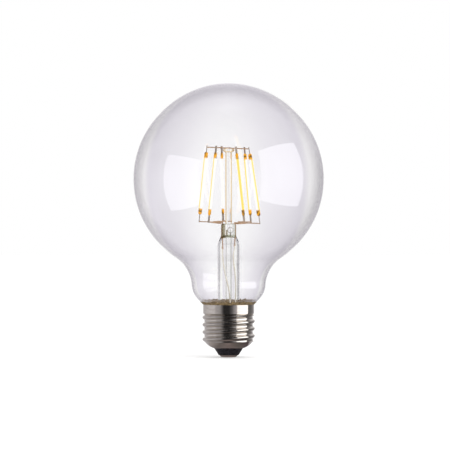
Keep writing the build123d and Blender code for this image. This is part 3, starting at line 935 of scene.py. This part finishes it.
def gel_stick(name, node, yellow_azimuth):
    """A gel stick with rounded ends, its skin measured out from its yellow side and along for the finish."""
    middle, (deep, thin, long), (deep_half, thin_half, long_half) = stick_axes(node)
    rings = []
    for step in range(gel_steps + 1):
        place = -math.cos(math.pi * step / gel_steps) * long_half
        closing = max(0.0, 1 - (long_half - abs(place)) / gel_end_round)
        scale = math.sqrt(max(0.0, 1 - closing**2))
        centre = middle + long * place
        if scale == 0:
            rings.append([tuple(centre)])
            continue
        points = []
        for turn in range(gel_segments):
            angle = 2 * math.pi * turn / gel_segments
            out = deep * (deep_half * scale * math.cos(angle)) + thin * (thin_half * scale * math.sin(angle))
            points.append(tuple(centre + out))
        rings.append(points)
    piece = loft(name, rings)
    turn = math.radians(yellow_azimuth)
    side = Vector((math.cos(turn), math.sin(turn), 0))
    yellow_side = Vector((side.dot(deep), side.dot(thin))).normalized()
    layer = piece.data.uv_layers.new(name="UVMap")
    for loop in piece.data.loops:
        offset = piece.data.vertices[loop.vertex_index].co / mm - middle
        facing = Vector((offset.dot(deep) / deep_half, offset.dot(thin) / thin_half))
        away = facing.angle(yellow_side, 0.0) / (2 * math.pi)
        layer.data[loop.index].uv = (away, 0.5 + offset.dot(long) / (2 * long_half))
    return piece


for number, yellow_azimuth in enumerate(yellow_azimuths, start=1):
    stick = gel_stick(f"gel_{number}", f"filament_{number}", yellow_azimuth)
    stand_for(stick, "filament_gel", f"filament_{number}")


# Cards and light


def light_path(tree, *rays):
    """One where the ray is of any of the named kinds, and nought elsewhere."""
    path = tree.nodes.new("ShaderNodeLightPath")
    total = path.outputs[rays[0]]
    for name in rays[1:]:
        larger = tree.nodes.new("ShaderNodeMath")
        larger.operation = "MAXIMUM"
        tree.links.new(total, larger.inputs[0])
        tree.links.new(path.outputs[name], larger.inputs[1])
        total = larger.outputs["Value"]
    return total


def through_share(tree):
    """One where the ray came through glass alone, without a mirror on its way."""
    return add_math(tree, "LESS_THAN", light_path(tree, "Glossy Depth"), 0.5)


def lighting_share(tree):
    """One where the ray left a rough surface, so that it lights it."""
    return add_math(tree, "MINIMUM", light_path(tree, "Diffuse Depth"), 1.0)


def emission_finish(name):
    """A material that only glows."""
    finish = bpy.data.materials.new(name)
    finish.use_nodes = True
    tree = finish.node_tree
    tree.nodes.remove(tree.nodes["Principled BSDF"])
    glow = tree.nodes.new("ShaderNodeEmission")
    tree.links.new(glow.outputs["Emission"], tree.nodes["Material Output"].inputs["Surface"])
    return finish, tree, glow


def hang_card(name, points, faces, finish):
    """A glowing card that shows only in glass and metal."""
    mesh = bpy.data.meshes.new(name)
    mesh.from_pydata([Vector(point) * mm for point in points], [], faces)
    card = bpy.data.objects.new(name, mesh)
    bpy.context.scene.collection.objects.link(card)
    mesh.materials.append(finish)
    card.visible_camera = False
    card.visible_diffuse = False
    card.visible_shadow = False


def hang_curved_card(name, azimuths, elevations, distance, finish, steps):
    """A curved card about the globe's centre."""
    points = []
    faces = []
    for row in range(steps + 1):
        lift = math.radians(elevations[0] + (elevations[1] - elevations[0]) * row / steps)
        level = distance * math.cos(lift)
        for column in range(steps + 1):
            turn = math.radians(azimuths[0] + (azimuths[1] - azimuths[0]) * column / steps)
            height = globe_centre.y + distance * math.sin(lift)
            points.append((level * math.sin(turn), -level * math.cos(turn), height))
    for row in range(steps):
        for column in range(steps):
            corner = row * (steps + 1) + column
            faces.append((corner, corner + 1, corner + steps + 2, corner + steps + 1))
    hang_card(name, points, faces, finish)


def add_azimuth(tree, axes):
    """Azimuth about the lamp as a share of a full turn, a half at the front, and more toward +X."""
    turn = tree.nodes.new("ShaderNodeMath")
    turn.operation = "ARCTAN2"
    tree.links.new(axes["X"], turn.inputs[0])
    tree.links.new(add_math(tree, "MULTIPLY", axes["Y"], -1.0), turn.inputs[1])
    return add_span(tree, turn.outputs["Value"], -math.pi, math.pi)


def add_azimuth_ramp(tree, azimuth, stops, tint):
    """Tinted greys round the lamp, given at azimuths in degrees."""
    shares = [((turn + 180) / 360, tuple(grey * share for share in tint)) for turn, grey in stops]
    return add_ramp(tree, azimuth, shares)


def card_finish(name, stops, tint, poles=()):
    """A glow that changes with azimuth where it is mirrored, and is even where it is not."""
    finish, tree, glow = emission_finish(name)
    axes = add_place(tree)
    azimuth = add_azimuth(tree, axes)
    shade = add_azimuth_ramp(tree, azimuth, stops, tint)
    for start, full, pole_stops in poles:
        low, high = (room_distance * mm * math.sin(math.radians(lift)) for lift in (start, full))
        pole_shade = add_azimuth_ramp(tree, azimuth, pole_stops, tint)
        shade = add_mix(tree, add_span(tree, axes["Z"], low, high), shade, pole_shade)
    shade = add_mix(tree, through_share(tree), shade, through_colour)
    shade = add_mix(tree, lighting_share(tree), shade, (plain_level,) * 3)
    tree.links.new(shade, glow.inputs["Color"])
    return finish


# Dim room round the lamp, with a soft box at the right
room_finish = card_finish("room", room_stops, room_tint, room_poles)
hang_curved_card("room_card", (-180, 180), (-90, 90), room_distance, room_finish, room_steps)
box_points = [(x, y, z + globe_centre.y) for x, y, z in box_corners]
hang_card("soft_box", box_points, [(0, 1, 2, 3)], card_finish("soft_box", box_stops, box_tint))

# Contact shade on the floor close to the cap
shade_finish, shade_tree, shade_glow = emission_finish("contact_shade")
shade_span = add_span(shade_tree, add_place(shade_tree)["X"], -shade_radius * mm, shade_radius * mm)
shade_tree.links.new(add_ramp(shade_tree, shade_span, shade_stops), shade_glow.inputs["Color"])
shade_points = ring(shade_radius, shade_radius, shade_height, shade_segments)
hang_card("contact_shade", shade_points, [range(shade_segments)], shade_finish)

# White backdrop that falls off away from the lamp
back_finish, back_tree, back_glow = emission_finish("backdrop")
back_place = back_tree.nodes.new("ShaderNodeTexCoord")
back_flat = back_tree.nodes.new("ShaderNodeMapping")
back_scale = Vector((1.0, 0.0, 1 / back_stretch))
back_flat.inputs["Location"].default_value = -back_centre * mm * back_scale
back_flat.inputs["Scale"].default_value = back_scale
back_shift = back_tree.nodes.new("ShaderNodeVectorMath")
back_shift.operation = "LENGTH"
back_tree.links.new(back_place.outputs["Object"], back_flat.inputs["Vector"])
back_tree.links.new(back_flat.outputs["Vector"], back_shift.inputs[0])
back_shade = add_ramp(back_tree, back_shift.outputs["Value"], back_stops)
back_shade = add_mix(back_tree, lighting_share(back_tree), back_shade, (plain_level,) * 3)
back_tree.links.new(back_shade, back_glow.inputs["Color"])
back_glow.inputs["Strength"].default_value = back_level
hang_curved_card("backdrop", back_azimuths, back_elevations, back_distance, back_finish, card_steps)

# Pale floor, lifted to white only where the camera sees it straight
floor_finish, floor_tree, floor_shader = new_finish("floor")
floor_grain = add_grain(floor_tree, floor_grain_size)
floor_colour = add_ramp(floor_tree, floor_grain, list(zip(grain_span, floor_colours)))
floor_tree.links.new(floor_colour, floor_shader.inputs["Base Color"])
floor_shader.inputs["Roughness"].default_value = floor_rough
floor_shader.inputs["Specular IOR Level"].default_value = 0.0
floor_shader.inputs["Emission Color"].default_value = (*white, 1)
floor_glow = add_math(floor_tree, "MULTIPLY", light_path(floor_tree, "Is Camera Ray"), floor_lift)
floor_tree.links.new(floor_glow, floor_shader.inputs["Emission Strength"])
floor_mesh = bpy.data.meshes.new("floor")
floor_signs = ((-1, -1), (1, -1), (1, 1), (-1, 1))
floor_corners = [Vector((x * floor_half, y * floor_half, floor_height)) * mm for x, y in floor_signs]
floor_mesh.from_pydata(floor_corners, [], [(0, 1, 2, 3)])
floor = bpy.data.objects.new("floor", floor_mesh)
bpy.context.scene.collection.objects.link(floor)
floor_mesh.materials.append(floor_finish)
floor.visible_glossy = False
floor.visible_transmission = False

# World: white where it is seen, a plain grey level where it lights
world = bpy.data.worlds.new("studio")
world.use_nodes = True
bpy.context.scene.world = world
world_tree = world.node_tree
seen = light_path(world_tree, "Is Camera Ray", "Is Glossy Ray", "Is Transmission Ray")
world_level = add_span(world_tree, seen, 0.0, 1.0, world_levels)
world_tree.nodes["Background"].inputs["Color"].default_value = (*white, 1)
world_tree.links.new(world_level, world_tree.nodes["Background"].inputs["Strength"])

# Soft key lamp from the right front
lamp_data = bpy.data.lights.new("key", "AREA")
lamp_data.size = key_size * mm
lamp_data.energy = key_watts
lamp = bpy.data.objects.new("key", lamp_data)
lamp.location = key_place * mm
lamp.rotation_euler = (key_aim - key_place).to_track_quat("-Z", "Y").to_euler()
lamp.visible_camera = False
lamp.visible_glossy = False
lamp.visible_transmission = False
bpy.context.scene.collection.objects.link(lamp)

# Camera at the photo's level view
camera_data = bpy.data.cameras.new("camera")
camera_data.sensor_width = sensor_width
camera_data.lens = sensor_width * view_distance / view_width
camera_data.clip_end = clip_end * mm
camera = bpy.data.objects.new("camera", camera_data)
camera.location = view_place * mm
camera.rotation_euler = (math.radians(90), 0, 0)
bpy.context.scene.collection.objects.link(camera)
bpy.context.scene.camera = camera
bpy.context.scene.view_settings.view_transform = "Standard"
bpy.context.scene.cycles.max_bounces = light_bounces
bpy.context.scene.cycles.transmission_bounces = light_bounces
bpy.context.scene.cycles.glossy_bounces = glossy_bounces
